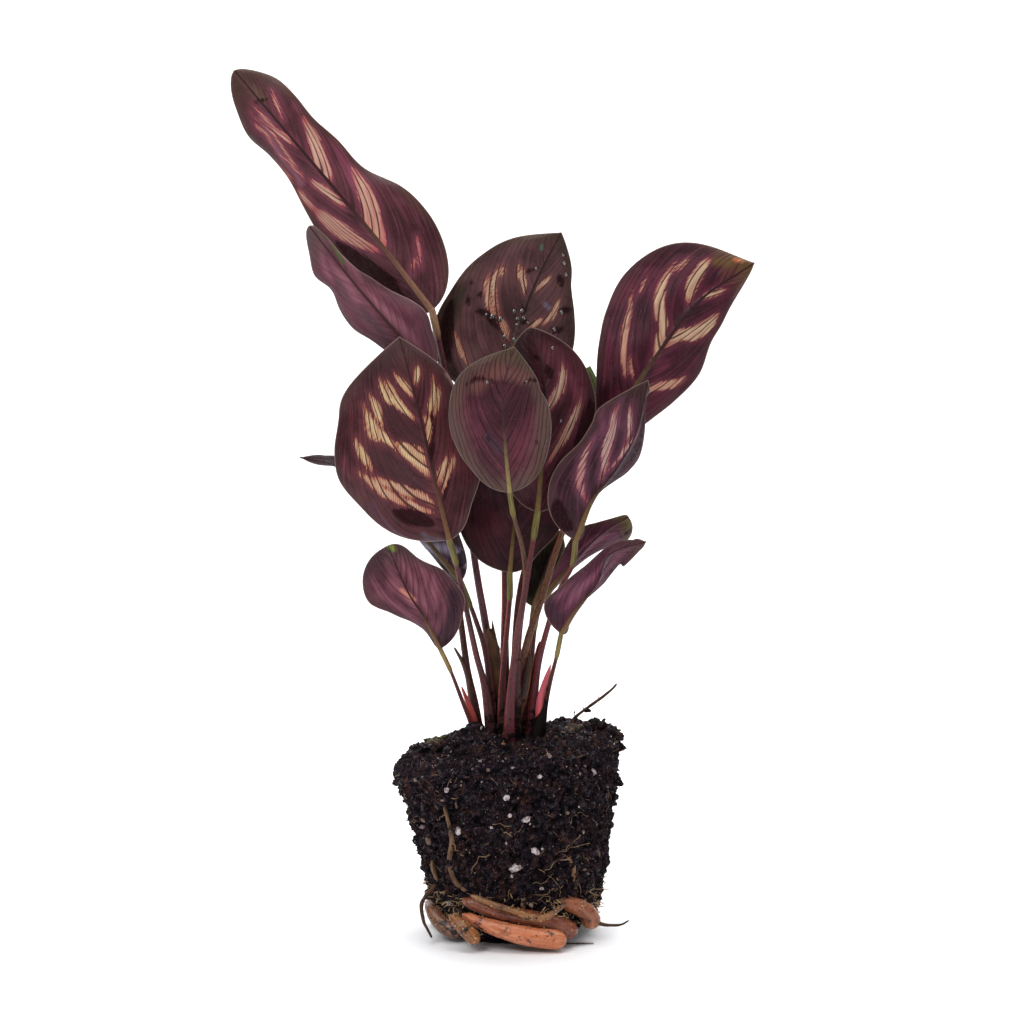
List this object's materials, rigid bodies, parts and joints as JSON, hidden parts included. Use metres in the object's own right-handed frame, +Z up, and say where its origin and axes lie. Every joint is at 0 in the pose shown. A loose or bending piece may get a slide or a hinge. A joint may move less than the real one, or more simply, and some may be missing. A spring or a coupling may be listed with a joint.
{
  "type": "peacock plant with bare root ball",
  "caption": "Foliage plant lifted from its pot: broad patterned purple leaves on upright stalks, in a pot-shaped ball of dark soil with fleshy storage roots under it.",
  "frame": {"origin": "middle of the soil ball's flat foot, on the surface it stands on", "axes": "+Z up, -Y towards the viewer of the picture, +X to the viewer's right"},
  "size_m": [0.2431, 0.1044, 0.4029],
  "materials": {
    "blade": "satin",
    "stalk": "satin",
    "dry": "matte",
    "tuber": "satin",
    "root": "matte",
    "soil": "matte"
  },
  "bodies": {
    "root": {"tall_left_stalk": "stalk", "tall_left_blade": "blade", "curled_left_stalk": "stalk", "curled_left_blade": "blade", "broad_left_stalk": "stalk", "broad_left_blade": "blade", "back_centre_stalk": "stalk", "back_centre_blade": "blade", "small_front_stalk": "stalk", "small_front_blade": "blade", "mid_right_stalk": "stalk", "mid_right_blade": "blade", "narrow_right_stalk": "stalk", "narrow_right_blade": "blade", "large_right_stalk": "stalk", "large_right_blade": "blade", "low_right_stalk": "stalk", "low_right_blade": "blade", "low_right_back_stalk": "stalk", "low_right_back_blade": "blade", "low_left_stalk": "stalk", "low_left_blade": "blade", "hidden_left_stalk": "stalk", "hidden_left_blade": "blade", "broad_back_stalk": "stalk", "broad_back_blade": "blade", "dark_back_stalk": "stalk", "dark_back_blade": "blade", "rear_green_stalk": "stalk", "rear_green_blade": "blade", "dry_sheath": "dry", "tuber_front_long": "tuber", "tuber_front_middle": "tuber", "tuber_front_right": "tuber", "tuber_front_cross": "tuber", "tuber_front_left": "tuber", "tuber_left": "tuber", "tuber_left_back": "tuber", "tuber_back": "tuber", "tuber_right_back": "tuber", "root_front_left_long": "root", "root_left_short": "root", "root_front_right_arc": "root", "root_right_stray": "root", "root_left_loop": "root", "root_twig": "root", "soil": "soil"}
  },
  "joints": []
}
